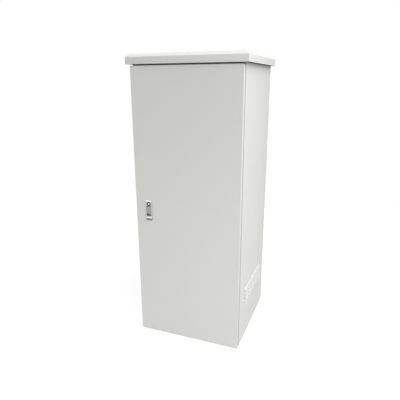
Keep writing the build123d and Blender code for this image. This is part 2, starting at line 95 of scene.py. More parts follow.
# line of points with every inner corner turned into an arc: the centre lies on the corner's bisector,
# and the arc runs between the two points where the circle touches the straight runs
def roundCorners(points, radius, steps=6):
    p = np.asarray(points, float)
    u = p[:-2] - p[1:-1]
    v = p[2:] - p[1:-1]
    u /= np.linalg.norm(u, axis=1)[:, None]
    v /= np.linalg.norm(v, axis=1)[:, None]
    half = np.arccos(np.clip((u * v).sum(1), -1, 1)) / 2
    mid = (u + v) / np.linalg.norm(u + v, axis=1)[:, None]
    centre = p[1:-1] + mid * (radius / np.sin(half))[:, None]
    start = p[1:-1] + u * (radius / np.tan(half))[:, None] - centre
    stop = p[1:-1] + v * (radius / np.tan(half))[:, None] - centre
    turn = (np.pi - 2 * half)[:, None, None]
    t = np.linspace(0, 1, steps)[None, :, None]
    sweep = np.sin((1 - t) * turn) * start[:, None] + np.sin(t * turn) * stop[:, None]
    arcs = centre[:, None] + sweep / np.sin(turn)
    return np.concatenate([p[:1], arcs.reshape(-1, p.shape[1]), p[-1:]])


# rounded rectangles, one per row: corner centre plus radius times (cosine, sine), each corner a quarter turn
def boxLoops(low, high, radius, steps=5):
    low, high = np.asarray(low, float)[:, None, :], np.asarray(high, float)[:, None, :]
    radius = np.broadcast_to(np.asarray(radius, float), low.shape[:1])[:, None]
    angle = (np.arange(4)[:, None] * np.pi / 2 + np.linspace(0, np.pi / 2, steps)[None, :]).ravel()
    right = np.repeat([1.0, 0.0, 0.0, 1.0], steps)[None, :]
    upper = np.repeat([1.0, 1.0, 0.0, 0.0], steps)[None, :]
    a = low[..., 0] + radius + right * (high[..., 0] - low[..., 0] - 2 * radius) + radius * np.cos(angle)
    b = low[..., 1] + radius + upper * (high[..., 1] - low[..., 1] - 2 * radius) + radius * np.sin(angle)
    return a, b


# turned shape: every (radius, height) of a profile becomes a ring of (across, aside, height); round the ring
# the radius swells by a cosine, once for each lobe
def turnedRings(profile, sides, swell=0.0, lobes=3):
    angle = np.linspace(0, 2 * np.pi, sides, endpoint=False)
    radius = profile[:, :1] * (1 + swell * np.cos(lobes * (angle - np.pi / 2)))
    height = np.broadcast_to(profile[:, 1:], radius.shape)
    return np.stack([radius * np.cos(angle), radius * np.sin(angle), height], -1)


# mesh from points in millimetres: doubles merged, faces turned outward, and edges sharper than the angle,
# in degrees, kept crisp
def newPiece(name, points, faces, body, slot, stands=(), closed=True, thick=0.0, crisp=32, finish=None):
    mesh = bpy.data.meshes.new(name)
    mesh.from_pydata((np.asarray(points).reshape(-1, 3) * mm).tolist(), [], [list(face) for face in faces])
    cleanMesh(mesh, closed)
    piece = bpy.data.objects.new(name, mesh)
    bpy.context.scene.collection.objects.link(piece)
    if thick:  # a sheet gets its gauge on the inner side, and the result is kept as its mesh
        solid = piece.modifiers.new("gauge", "SOLIDIFY")
        solid.thickness, solid.offset, solid.use_even_offset = thick * mm, -1, True
        bpy.context.view_layer.update()
        made = bpy.data.meshes.new_from_object(piece.evaluated_get(bpy.context.evaluated_depsgraph_get()))
        piece.modifiers.clear()
        piece.data = made
    piece.data.shade_smooth()
    piece.data.set_sharp_from_angle(angle=math.radians(crisp))
    piece.data.materials.clear()
    piece.data.materials.append(finishes[finish or slot])
    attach(piece, body)
    if stands:
        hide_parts(*stands)
    return piece


def cleanMesh(mesh, closed):
    work = bmesh.new()
    work.from_mesh(mesh)
    bmesh.ops.remove_doubles(work, verts=work.verts, dist=mergeReach)
    bmesh.ops.dissolve_degenerate(work, edges=work.edges, dist=mergeReach / 2)
    if closed:
        bmesh.ops.recalc_face_normals(work, faces=work.faces)
    work.to_mesh(mesh)
    work.free()


# a socket is linked to the node's input, and anything else becomes that input's value
def setInputs(tree, node, inputs):
    for label, source in inputs.items():
        if isinstance(source, bpy.types.NodeSocket):
            tree.links.new(source, node.inputs[label])
        else:
            node.inputs[label].default_value = source
    return node


def addNode(tree, kind, inputs=None, **settings):
    node = tree.nodes.new(kind)
    for key, value in settings.items():
        setattr(node, key, value)
    return setInputs(tree, node, inputs or {})


def calc(tree, operation, first, second):
    return addNode(tree, "ShaderNodeMath", {0: first, 1: second}, operation=operation).outputs[0]


def remap(tree, source, low, high, toLow, toHigh):
    return addNode(tree, "ShaderNodeMapRange", {0: source, 1: low, 2: high, 3: toLow, 4: toHigh}).outputs[0]


def objectPlace(tree):
    return addNode(tree, "ShaderNodeTexCoord").outputs["Object"]


def noise(tree, place, scale, detail, roughness=0.5):
    inputs = {"Vector": place, "Scale": scale, "Detail": detail, "Roughness": roughness}
    return addNode(tree, "ShaderNodeTexNoise", inputs).outputs["Fac"]


def cells(tree, place, scale):
    return addNode(tree, "ShaderNodeTexVoronoi", {"Vector": place, "Scale": scale}).outputs


# shader node group with named inputs; the maker function fills it and joins its three outputs
def newGroup(name, inputs):
    tree = bpy.data.node_groups.new(name, "ShaderNodeTree")
    for label, value in inputs.items():
        tree.interface.new_socket(label, in_out="INPUT", socket_type="NodeSocketFloat").default_value = value
    for label in ("Tone", "Gloss", "Height"):
        tree.interface.new_socket(label, in_out="OUTPUT", socket_type="NodeSocketFloat")
    return tree, tree.nodes.new("NodeGroupInput").outputs, tree.nodes.new("NodeGroupOutput")


powderValues = dict(inputs={"Cloud": 0.02, "Peel": 330.0, "Gloss": 0.45}, cloudScale=2.3, cloudDetail=3.0,
                    cloudRoughness=0.55, grainScale=900.0, grainDetail=2.0, peelDetail=2.5,
                    speck=(0.3, 0.7, -0.006, 0.006), gloss=(0.25, 0.75, -0.05, 0.05))


# powder coat: large soft clouds for the tone, fine grain for the gloss, and orange peel for the height
def makePowderGroup(v):
    tree, given, out = newGroup("powderCoat", v["inputs"])
    place = objectPlace(tree)
    cloud = noise(tree, place, v["cloudScale"], v["cloudDetail"], v["cloudRoughness"])
    grain = noise(tree, place, v["grainScale"], v["grainDetail"])
    peel = noise(tree, place, given["Peel"], v["peelDetail"])
    swing = calc(tree, "MULTIPLY", calc(tree, "SUBTRACT", cloud, 0.5), given["Cloud"])
    mixed = calc(tree, "ADD", swing, remap(tree, grain, *v["speck"]))
    tone = calc(tree, "ADD", mixed, 1.0)
    gloss = calc(tree, "ADD", remap(tree, grain, *v["gloss"]), given["Gloss"])
    setInputs(tree, out, {"Tone": tone, "Gloss": gloss, "Height": peel})
    return tree


metalValues = dict(
    inputs={"Along X": 40.0, "Along Y": 40.0, "Along Z": 900.0, "Flower": 90.0, "Gloss": 0.35},
    streakScale=1.0, streakDetail=3.0, tone=(0.3, 1.7, 0.90, 1.08), gloss=(0.3, 1.7, -0.07, 0.09),
)


# drawn or brushed metal: noise stretched along one axis gives streaks, cells give the zinc's flowers
def makeMetalGroup(v):
    tree, given, out = newGroup("drawnMetal", v["inputs"])
    place = objectPlace(tree)
    stretch = {axis: given["Along " + axis] for axis in "XYZ"}
    scale = addNode(tree, "ShaderNodeCombineXYZ", stretch).outputs[0]
    drawn = addNode(tree, "ShaderNodeVectorMath", {0: place, 1: scale}, operation="MULTIPLY").outputs[0]
    streak = noise(tree, drawn, v["streakScale"], v["streakDetail"])
    flower = cells(tree, place, given["Flower"])["Color"]
    patch = addNode(tree, "ShaderNodeSeparateColor", {0: flower}).outputs[0]
    both = calc(tree, "ADD", streak, patch)
    gloss = calc(tree, "ADD", remap(tree, both, *v["gloss"]), given["Gloss"])
    setInputs(tree, out, {"Tone": remap(tree, both, *v["tone"]), "Gloss": gloss, "Height": streak})
    return tree


mouldedValues = dict(inputs={"Pore": 700.0, "Skin": 220.0, "Depth": 0.5, "Gloss": 0.6}, skinDetail=4.0,
                     tone=(0.2, 1.0, 0.8, 1.2), gloss=(0.2, 0.8, -0.06, 0.06))


# moulded rubber, foam and plastic: cells for pores, noise for the skin
def makeMouldedGroup(v):
    tree, given, out = newGroup("mouldedSkin", v["inputs"])
    place = objectPlace(tree)
    pore = cells(tree, place, given["Pore"])["Distance"]
    skin = noise(tree, place, given["Skin"], v["skinDetail"])
    height = calc(tree, "ADD", calc(tree, "MULTIPLY", pore, given["Depth"]), skin)
    gloss = calc(tree, "ADD", remap(tree, skin, *v["gloss"]), given["Gloss"])
    setInputs(tree, out, {"Tone": remap(tree, height, *v["tone"]), "Gloss": gloss, "Height": height})
    return tree


surfaceGroups = {
    "powder": makePowderGroup(powderValues),
    "metal": makeMetalGroup(metalValues),
    "moulded": makeMouldedGroup(mouldedValues),
}

# one entry for each finish: its group, colour, bump depth in millimetres, and the group's inputs
finishValues = {
    "paint": dict(group="powder", colour=(0.600, 0.600, 0.588), bump=0.06, shine=0.25,
                  Cloud=0.035, Peel=330.0, Gloss=0.46),
    "frame_paint": dict(group="powder", colour=(0.560, 0.560, 0.548), bump=0.06, shine=0.25,
                        Cloud=0.05, Peel=300.0, Gloss=0.50),
    "zinc": dict(group="metal", colour=(0.60, 0.62, 0.64), bump=0.02, Flower=85.0, Gloss=0.36),
    "bolts": dict(group="metal", colour=(0.56, 0.57, 0.58), bump=0.02, Flower=420.0, Gloss=0.30),
    "hinge_steel": dict(group="metal", colour=(0.44, 0.45, 0.46), bump=0.02, Flower=300.0, Gloss=0.40),
    "rubber": dict(group="moulded", colour=(0.021, 0.021, 0.022), bump=0.2,
                   Pore=900.0, Depth=0.3, Gloss=0.78),
    "filter": dict(group="moulded", colour=(0.095, 0.096, 0.10), bump=1.2,
                   Pore=340.0, Depth=0.9, Gloss=0.92),
    "fan_black": dict(group="moulded", colour=(0.020, 0.020, 0.022), bump=0.08,
                      Pore=1500.0, Depth=0.2, Gloss=0.48),
    "copper": dict(group="metal", colour=(0.72, 0.39, 0.24), bump=0.02, Flower=150.0, Gloss=0.34),
    "insulator": dict(group="moulded", colour=(0.30, 0.045, 0.028), bump=0.05,
                      Pore=1500.0, Depth=0.2, Gloss=0.42),
    "chrome": dict(group="metal", colour=(0.62, 0.625, 0.62), bump=0.01, Flower=600.0, Gloss=0.30),
    "pullSatin": dict(group="metal", colour=(0.37, 0.375, 0.37), bump=0.01, Flower=600.0, Gloss=0.40),
    # the key pin's near-white metal is a painted highlight, and the barrel's near-black is painted shade for the
    # recess round the pin
    "pinHighlight": dict(group="metal", colour=(0.93, 0.93, 0.92), bump=0.01, Flower=600.0, Gloss=0.25),
    "barrelShadeBlack": dict(group="moulded", colour=(0.010, 0.010, 0.010), bump=0.04, shine=0.2,
                        Pore=1800.0, Depth=0.2, Gloss=0.55),
    # the dish's colour paints light and shade: a highlight at its top edge and lower rim, a shadow along its
    # bottom edge, and shade in the finger recess
    "handleDish": dict(group="metal", bump=0.01, Flower=600.0, Gloss=0.34,
                       corner=dishLow, deep=(0.8, 2.8), recessShadeColour=(0.50, 0.50, 0.49), bandBlue=0.99,
                       platingAndLightBands=[(1.0, 0.20), (10.2, 0.22), (11.4, 0.74), (20.2, 0.74), (22.0, 0.60),
                              (106.0, 0.60), (108.5, 0.92)]),  # height above the lower edge, and grey
}


# colour of the dish: the plating's grey in bands up its front, with a painted highlight along the top edge and the
# lower rim and a painted shadow along the bottom edge, and painted shade deeper in, in the finger recess
def bandedColour(tree, values):
    parts = addNode(tree, "ShaderNodeSeparateXYZ", {0: objectPlace(tree)}).outputs
    front, foot = values["corner"][1], values["corner"][2]
    low, high = values["platingAndLightBands"][0][0], values["platingAndLightBands"][-1][0]
    along = remap(tree, parts["Z"], (foot + low) * mm, (foot + high) * mm, 0, 1)
    ramp = addNode(tree, "ShaderNodeValToRGB", {0: along})
    for spot, (height, grey) in enumerate(values["platingAndLightBands"]):  # a new ramp has two stops already
        stop = ramp.color_ramp.elements[spot] if spot < 2 else ramp.color_ramp.elements.new(1)
        stop.position = (height - low) / (high - low)
        stop.color = (grey, grey, grey * values["bandBlue"], 1)
    # the finger recess, deeper in, is painted in shade: a darker colour mixed in by depth
    start, end = values["deep"]
    recessShadeMask = remap(tree, parts["Y"], (front + start) * mm, (front + end) * mm, 0, 1)
    inputs = {"Factor": recessShadeMask, "A": ramp.outputs["Color"], "B": (*values["recessShadeColour"], 1.0)}
    return addNode(tree, "ShaderNodeMix", inputs, data_type="RGBA").outputs["Result"]


def makeFinish(name, values):
    material = bpy.data.materials.new(name)
    material.use_nodes = True
    tree = material.node_tree
    skin = addNode(tree, "ShaderNodeGroup", node_tree=surfaceGroups[values["group"]])
    setInputs(tree, skin, {label: values[label] for label in skin.inputs.keys() if label in values})
    plain = bandedColour(tree, values) if "platingAndLightBands" in values else (*values["colour"], 1.0)
    toned = {"Factor": 1.0, "A": plain, "B": skin.outputs["Tone"]}
    colour = addNode(tree, "ShaderNodeMix", toned, data_type="RGBA", blend_type="MULTIPLY")
    relief = {"Height": skin.outputs["Height"], "Distance": values["bump"] * mm, "Strength": 1.0}
    bump = addNode(tree, "ShaderNodeBump", relief)
    setInputs(tree, tree.nodes["Principled BSDF"], {
        "Base Color": colour.outputs["Result"],
        "Roughness": skin.outputs["Gloss"],
        "Normal": bump.outputs["Normal"],
        "Metallic": float(values["group"] == "metal"),
        "Specular IOR Level": values.get("shine", 0.5),
    })
    return material


specialFinish = {"handle_dish": "handleDish"}  # nodes whose finish is more than their slot's
finishes = {name: makeFinish(name, values) for name, values in finishValues.items()}
for row in frame["record"]["subparts"]:
    nodes[row["node"]].data.materials.clear()
    nodes[row["node"]].data.materials.append(finishes[specialFinish.get(row["node"], row["material_slot"])])
print("finishes made:", len(finishes))

hoodValues = dict(halfWidth=hoodHigh[0], halfDepth=hoodHigh[1], low=hoodLow[2], top=hoodHigh[2], skirt=35.0,
                  inset=20.5, rim=40.0, fold=3.0, corner=3.0, gauge=1.6)


# hood: a profile of (inset, height) carried round a rounded rectangle, up the outside and down the inside
def makeHood(v):
    low, top, inset = v["low"], v["top"], v["inset"]
    line = np.array([[0, low], [0, low + v["skirt"]], [inset, top], [inset + v["rim"], top]])
    inward = np.array([[1, 0], [1, -0.6], [0.5, -1], [1, -1]])  # the way inside from each point of the line
    outer = roundCorners(line, v["fold"])
    inner = roundCorners(line + inward * v["gauge"], v["fold"] - v["gauge"])
    profile = np.concatenate([outer, inner[::-1]])
    edge = np.array([[v["halfWidth"], v["halfDepth"]]])
    x, y = boxLoops(profile[:, :1] - edge, edge - profile[:, :1], v["corner"])
    points = np.stack([x, y, np.broadcast_to(profile[:, 1:], x.shape)], -1)
    rows, cols = x.shape
    last = len(outer) - 1
    lid = last * cols + np.arange(cols)
    quads = gridQuads(rows, cols, wrapRows=True, wrapCols=True)
    quads = quads[quads[:, 0] // cols != last]  # the lids of the top close the shell here
    return newPiece("hoodShell", points, [*quads, lid, lid[::-1] + cols], "cabinet", "paint", ["hood"])


wallValues = dict(side=doorHigh[0], front=wallLow[1], rear=wallHigh[1], low=wallLow[2], top=wallHigh[2],
                  frontReturn=20.0, rearReturn=doorHigh[0] - wallLow[0], fold=2.4, gauge=1.6,
                  middleY=(matLow[1] + matHigh[1]) / 2, middleZ=(matLow[2] + matHigh[2]) / 2,
                  columns=5, rows=4, pitchY=72.0, pitchZ=23.5, length=62.0, height=15.0, reach=9.5,
                  endRound=3.5, fullness=1.5, evenRun=32.0, evenLines=5, endLines=8, slopeLines=10)


# side wall: folded sheet with louvres lanced along their lower edge. The sheet moves out by the reach, times
# a quarter ellipse towards the louvre's ends, times a slope from the lip up to the plane of the wall: one
# minus the height's share to a power, and the same root of that
def makeWall(name, v, sign, node):
    half = v["length"] / 2
    ends = half - v["endRound"] * (1 - np.sin(np.linspace(0, np.pi / 2, v["endLines"])))
    even = np.linspace(-0.5, 0.5, v["evenLines"]) * v["evenRun"]
    local = np.concatenate([-ends[::-1], even, ends])
    middles = v["middleY"] + (np.arange(v["columns"]) - (v["columns"] - 1) / 2) * v["pitchY"]
    lines = (middles[:, None] + local[None, :]).ravel()
    corners = [(v["side"] - v["frontReturn"], v["front"]), (v["side"], v["front"]), (v["side"], v["rear"]),
               (v["side"] - v["rearReturn"], v["rear"])]
    folds = roundCorners(corners, v["fold"])
    split = len(folds) // 2  # the louvres' lines lie between the front fold and the rear one
    flat = np.stack([np.full(len(lines), v["side"]), lines], 1)
    plan = np.concatenate([folds[:split], flat, folds[split:]])
    steps = np.sin(np.linspace(0, np.pi / 2, v["slopeLines"]))  # closer lines towards the top
    slope = (1 - steps ** v["fullness"]) ** (1 / v["fullness"])
    lows = v["middleZ"] + (np.arange(v["rows"]) - (v["rows"] - 1) / 2) * v["pitchZ"] - v["height"] / 2
    levels = lows[:, None] + np.concatenate([[0], steps])[None, :] * v["height"]
    heights = np.concatenate([[v["low"]], levels.ravel(), [v["top"]]])
    lift = np.concatenate([[0], np.tile(np.concatenate([[0], slope]), v["rows"]), [0]])
    near = np.abs(plan[:, 1][:, None] - middles[None, :]).min(1)
    past = np.clip((near - (half - v["endRound"])) / v["endRound"], 0, 1)
    across = np.where(np.isclose(plan[:, 0], v["side"]), np.sqrt(1 - past**2), 0)
    x = plan[None, :, 0] + v["reach"] * lift[:, None] * across[None, :]
    y, z = np.broadcast_to(plan[None, :, 1], x.shape), np.broadcast_to(heights[:, None], x.shape)
    faces = gridQuads(*x.shape)
    slit = np.isin(faces[:, 0] // x.shape[1], 1 + np.arange(v["rows"]) * (len(steps) + 1))
    faces = faces[~slit][:, :: int(sign)]  # no face across a slit, which is open where the lip stands out
    points = np.stack([sign * x, y, z], -1)
    return newPiece(name, points, faces, "cabinet", "paint", [node], closed=False, thick=v["gauge"])


doorValues = dict(side=doorHigh[0], front=doorLow[1], back=doorHigh[1], low=doorLow[2], high=doorHigh[2],
                  handleX=(dishLow[0] + dishHigh[0]) / 2, handleZ=(dishLow[2] + dishHigh[2]) / 2,
                  cutWidth=32.0, cutHeight=107.0, edge=1.8, fold=2.4, rim=9.0, flank=12.0, lip=12.0,
                  lipDepth=8.0, gauge=1.6, corner=1.2)


# door pan: a profile of (inset, depth) from the handle's cutout over the rounded edge and fold to the lip,
# then back along the inside; every point of it is a rounded rectangle, and the hinge side's lip is cut to
# the gauge
def makeDoor(v):
    front, back, gauge, rim = v["front"], v["back"], v["gauge"], v["rim"]
    outer = roundCorners([(rim, front), (0, front), (0, front + v["flank"])], v["edge"])
    folded = roundCorners([(0, back - v["flank"]), (0, back), (v["lip"], back)], v["fold"])
    inside = [(v["lip"], back - gauge), (gauge, back - gauge), (gauge, front + gauge), (rim, front + gauge)]
    profile = np.concatenate([outer, folded, inside])
    inset, depth = profile[:, 0], profile[:, 1]
    right = np.where(depth > back - v["lipDepth"], np.minimum(inset, gauge), inset)
    low = np.stack([-v["side"] + inset, v["low"] + inset], 1)
    high = np.stack([v["side"] - right, v["high"] - inset], 1)
    cutHalf = np.array([v["cutWidth"], v["cutHeight"]]) / 2
    middle = np.array([v["handleX"], v["handleZ"]])
    low = np.concatenate([[middle - cutHalf], low, [middle - cutHalf]])
    high = np.concatenate([[middle + cutHalf], high, [middle + cutHalf]])
    depth = np.concatenate([[front], depth, [front + gauge]])
    x, z = boxLoops(low, high, v["corner"])
    points = np.stack([x, np.broadcast_to(depth[:, None], x.shape), z], -1)
    faces = gridQuads(*x.shape, wrapRows=True, wrapCols=True)
    return newPiece("doorPan", points, faces, "door", "paint", ["door_panel"])


gasketValues = dict(outerX=gasketHigh[0], low=gasketLow[2], high=gasketHigh[2], foot=gasketLow[1],
                    crest=gasketHigh[1], width=14.0, soft=4.5, corner=6.0)


# door gasket: a foam section with rounded shoulders carried round the inside of the door
def makeGasket(v):
    base = [(0, v["foot"]), (0, v["crest"]), (v["width"], v["crest"]), (v["width"], v["foot"])]
    profile = roundCorners(base, v["soft"], steps=8)
    inset = profile[:, :1]
    low, high = np.array([[-v["outerX"], v["low"]]]), np.array([[v["outerX"], v["high"]]])
    x, z = boxLoops(low + inset, high - inset, v["corner"])
    points = np.stack([x, np.broadcast_to(profile[:, 1:], x.shape), z], -1)
    faces = gridQuads(*x.shape, wrapRows=True, wrapCols=True)
    return newPiece("doorGasket", points, faces, "door", "rubber", ["door_gasket"])


railValues = dict(outer=railHigh[0], face=railHigh[0] - railLow[0], flank=railHigh[1] - railLow[1],
                  front=railLow[1], low=railLow[2], high=railHigh[2], fold=3.0, gauge=2.0, hole=9.5,
                  holeX=232.55, unit=44.45, units=28, spots=(6.35, 22.225, 38.1))


# rack rail: a folded angle on a grid whose lines run along the edges of the square holes; the holes' quads
# are left out
def makeRail(name, v, signX, signY, node):
    outer, front, half = v["outer"], v["front"], v["hole"] / 2
    plan = roundCorners([(outer - v["face"], front), (outer, front), (outer, front + v["flank"])], v["fold"])
    edges = np.array([[v["holeX"] - half, front], [v["holeX"] + half, front]])
    plan = np.concatenate([plan[:1], edges, plan[1:]])
    first = (v["low"] + v["high"] - v["units"] * v["unit"]) / 2
    middles = (first + np.arange(v["units"])[:, None] * v["unit"] + np.array(v["spots"])[None, :]).ravel()
    levels = middles[:, None] + np.array([[-half, half]])
    heights = np.concatenate([[v["low"]], levels.ravel(), [v["high"]]])
    x, z = np.meshgrid(plan[:, 0], heights)
    y = np.broadcast_to(plan[None, :, 1], x.shape)
    points = np.stack([signX * x, signY * y, z], -1)
    faces = gridQuads(*x.shape)
    row, col = faces[:, 0] // x.shape[1], faces[:, 0] % x.shape[1]
    faces = faces[~((col == 1) & (row % 2 == 1))][:, :: int(signX * signY)]
    return newPiece(name, points, faces, "cabinet", "zinc", [node], closed=False, thick=v["gauge"])


leverValues = dict(middleX=leverPivot[0], halfWidth=(leverHigh[0] - leverLow[0]) / 2, pivotY=leverPivot[1],
                   pivotZ=leverPivot[2], round=leverPivot[1] - leverLow[1], low=leverLow[2], endThick=6.0,
                   endRound=1.8, tipBack=0.2, tipRise=0.8, bow=1.4, soft=1.6, coreY=5.0, coreZ=6.0,
                   headLines=15, faceLines=11, rimLines=6)


# pull lever: a side profile (round head, bowed face, thin end) carried across the width; towards both sides
# the profile shrinks to its core by a quarter circle, which rounds the rim
def makeLever(v):
    front = v["pivotY"] - v["round"]
    back = front + v["endThick"]
    knee = (v["pivotZ"] + v["low"]) / 2
    turn = np.linspace(np.pi, 0, v["headLines"])
    head = np.stack([v["pivotY"] + v["round"] * np.cos(turn), v["pivotZ"] + v["round"] * np.sin(turn)], 1)
    end = (front + v["tipBack"], v["low"])
    tail = roundCorners([head[-1], (back, knee), (back, v["low"]), end], v["endRound"])
    t = np.linspace(0, 1, v["faceLines"])
    rise = t * (v["pivotZ"] - v["low"]) + v["tipRise"] * (1 - t)
    face = np.stack([front + v["bow"] * 4 * t * (1 - t), v["low"] + rise], 1)
    profile = np.concatenate([head, tail[1:-1], face[:-1]])
    core = np.array([[front + v["coreY"], knee + v["coreZ"]]])
    curve = v["soft"] * np.sin(np.linspace(0, np.pi / 2, v["rimLines"]))
    across = np.concatenate([curve - v["halfWidth"], v["halfWidth"] - curve[::-1]])
    shrink = v["soft"] - np.concatenate([curve, curve[::-1]])
    scale = 1 - shrink[:, None] / np.linalg.norm(profile - core, axis=1)[None, :]
    flat = core[None] + (profile - core)[None] * scale[..., None]
    x = np.broadcast_to((v["middleX"] + across)[:, None, None], (*scale.shape, 1))
    points, faces = np.concatenate([x, flat], -1), tubeFaces(*scale.shape)
    return newPiece("pullLever", points, faces, "pull", "chrome", ["lever"], finish="pullSatin")


lockValues = dict(x=lockPivot[0], z=lockPivot[2], front=lockLow[1], back=dishHigh[1], tailEnd=lockHigh[1],
                  radius=9.0, collar=11.8, collarProud=1.4, collarThick=0.8, rim=0.35, keyRing=7.4,
                  keyDepth=9.0, keyPin=5.2, keyLobes=0.15, pinSunk=0.5, pinShort=0.3, pinRound=0.5,
                  tailHalf=4.0, tailLap=1.0, tailRound=0.6, pole=0.05, sides=60)


# lock barrel: a turned profile of (radius, depth) with a collar and a ring keyway, and a square tail; the
# key pin in its middle is turned too, with three lobes
def makeLock(v):
    pole, plug, ring, collar, back = v["pole"], v["radius"], v["keyRing"], v["collar"], v["back"]
    face = v["front"] - v["collarProud"]
    under = face + v["collarThick"]
    floor = v["front"] + v["keyDepth"]
    barrelLine = [(pole, back), (plug, back), (plug, under), (collar, under), (collar, face), (ring, face),
                  (ring, floor), (pole, floor)]
    root, tip = floor + v["pinSunk"], v["front"] + v["pinShort"]
    pinLine = [(pole, root), (v["keyPin"], root), (v["keyPin"], tip), (pole, tip)]
    barrel = turnedRings(roundCorners(barrelLine, v["rim"], steps=4), v["sides"])
    pin = turnedRings(roundCorners(pinLine, v["pinRound"], steps=4), v["sides"], v["keyLobes"])
    swap, place = [0, 2, 1], [v["x"], 0, v["z"]]  # the turning axis lies along y
    barrelFaces, pinFaces = tubeFaces(*barrel.shape[:2]), tubeFaces(*pin.shape[:2])
    barrel, pin = barrel[..., swap] + place, pin[..., swap] + place
    # the barrel in near-black paints the recess's shade, and the pin in near-white metal paints its highlight
    newPiece("lockBarrel", barrel, barrelFaces, "lock", "chrome", ["lock_core"], finish="barrelShadeBlack")
    newPiece("keyPin", pin, pinFaces, "lock", "chrome", finish="pinHighlight")
    low = np.array([[v["x"], v["z"]], [v["x"], v["z"]]]) - v["tailHalf"]
    x, z = boxLoops(low, low + 2 * v["tailHalf"], v["tailRound"])
    tail = np.stack([x, np.broadcast_to([[back - v["tailLap"]], [v["tailEnd"]]], x.shape), z], -1)
    newPiece("lockTail", tail, tubeFaces(*x.shape), "lock", "chrome")


shadeStripValues = dict(side=doorHigh[0], rear=backHigh[1], front=wallLow[1], low=hoodLow[2] - 0.1,
                   high=hoodLow[2] + 5.0, proud=1.3, sunk=0.1, turn=0.4, soft=0.5, edgeLow=doorLow[2] + 2.0,
                   edgeHigh=doorHigh[2] - 1.0, edgeWidth=19.0, edgeThick=0.8, edgeWrap=0.1, edgeShy=0.1,
                   edgeSoft=0.35)


# hood shade strip: a black rubber band round the left, back and right of the body just under the hood's edge,
# which paints the shade in the gap between the hood and the walls; its section, a rounded rectangle, is carried
# along the plan's three sides
def makeHoodShadeStrip(v):
    side, rear, front = v["side"], v["rear"], v["front"]
    plan = roundCorners([(side, front), (side, rear), (-side, rear), (-side, front)], v["turn"], steps=5)
    step = np.gradient(plan, axis=0)
    out = np.stack([step[:, 1], -step[:, 0]], 1)
    out[[0, -1]] = [[1, 0], [-1, 0]]
    out /= np.linalg.norm(out, axis=1)[:, None]
    away, up = boxLoops([[-v["sunk"], v["low"]]], [[v["proud"], v["high"]]], v["soft"])
    flat = plan[:, None, :] + out[:, None, :] * away[0][None, :, None]
    height = np.broadcast_to(up[0][None, :, None], (*flat.shape[:2], 1))
    points = np.concatenate([flat, height], -1)
    newPiece("hoodShadeStrip", points, tubeFaces(*flat.shape[:2]), "cabinet", "rubber")


# seam shade strip: a thin black rubber band on the wall's front fold, which paints the shade in the seam beside
# the door; a rounded rectangle in plan carried up the wall
def makeSeamShadeStrip(name, v, sign):
    low = [v["side"] - v["edgeWidth"], v["front"] - v["edgeThick"]]
    high = [v["side"] - v["edgeShy"], v["front"] + v["edgeWrap"]]
    x, y = boxLoops([low, low], [high, high], v["edgeSoft"], steps=4)
    points = np.stack([sign * x, y, np.broadcast_to([[v["edgeLow"]], [v["edgeHigh"]]], x.shape)], -1)
    newPiece(name, points, tubeFaces(*x.shape), "cabinet", "rubber")


fanValues = dict(centreY=fanPivot[1], low=fanLow[2], high=fanHigh[2], hub=19.0, hubRound=2.5, hubSides=48,
                 pole=0.05, blades=4, root=17.5, tip=fanHigh[0], chordRoot=27.0, chordTip=36.0,
                 pitchRoot=46.0, pitchTip=30.0, thick=2.0, tipThin=0.25, camber=2.2, bladeRings=9,
                 bladeSides=24)


# fan rotor: a turned hub, and blades whose section is a thin cambered ellipse, pitched flatter at the tip
def makeFan(v):
    hubLine = [(v["pole"], v["low"]), (v["hub"], v["low"]), (v["hub"], v["high"]), (v["pole"], v["high"])]
    hub = turnedRings(roundCorners(hubLine, v["hubRound"]), v["hubSides"])
    s = np.linspace(0, 1, v["bladeRings"])[:, None]
    around = np.linspace(0, 2 * np.pi, v["bladeSides"], endpoint=False)[None, :]
    chord = v["chordRoot"] + s * (v["chordTip"] - v["chordRoot"])
    pitch = np.radians(v["pitchRoot"] + s * (v["pitchTip"] - v["pitchRoot"]))
    thick = v["thick"] * np.where(s < 1, 1, v["tipThin"])
    along = np.cos(around) * chord / 2
    up = np.sin(around) * thick / 2 + v["camber"] * (1 - np.cos(around) ** 2)
    radius = np.broadcast_to(v["root"] + s * (v["tip"] - v["root"]), along.shape)
    side = along * np.cos(pitch) - up * np.sin(pitch)
    height = along * np.sin(pitch) + up * np.cos(pitch) + (v["low"] + v["high"]) / 2
    turns = (np.arange(v["blades"]) * 2 * np.pi / v["blades"])[:, None, None]
    x, y = radius * np.cos(turns) - side * np.sin(turns), radius * np.sin(turns) + side * np.cos(turns)
    blades = np.stack([x, y, np.broadcast_to(height, x.shape)], -1)
    starts = hub[..., 0].size + np.arange(v["blades"]) * height.size
    faces = tubeFaces(*hub.shape[:2])
    faces += [face + start for start in starts for face in tubeFaces(*height.shape)]
    points = np.concatenate([hub.reshape(-1, 3), blades.reshape(-1, 3)]) + [0, v["centreY"], 0]
    return newPiece("fanRotor", points, faces, "fan", "fan_black", ["fan_rotor"])


matValues = dict(face=matLow[0], wall=matHigh[0], lowY=matLow[1], highY=matHigh[1], lowZ=matLow[2],
                 highZ=matHigh[2], soft=5.0, wave=0.5, waveY=13.0, waveZ=11.0, linesY=77, linesZ=29)


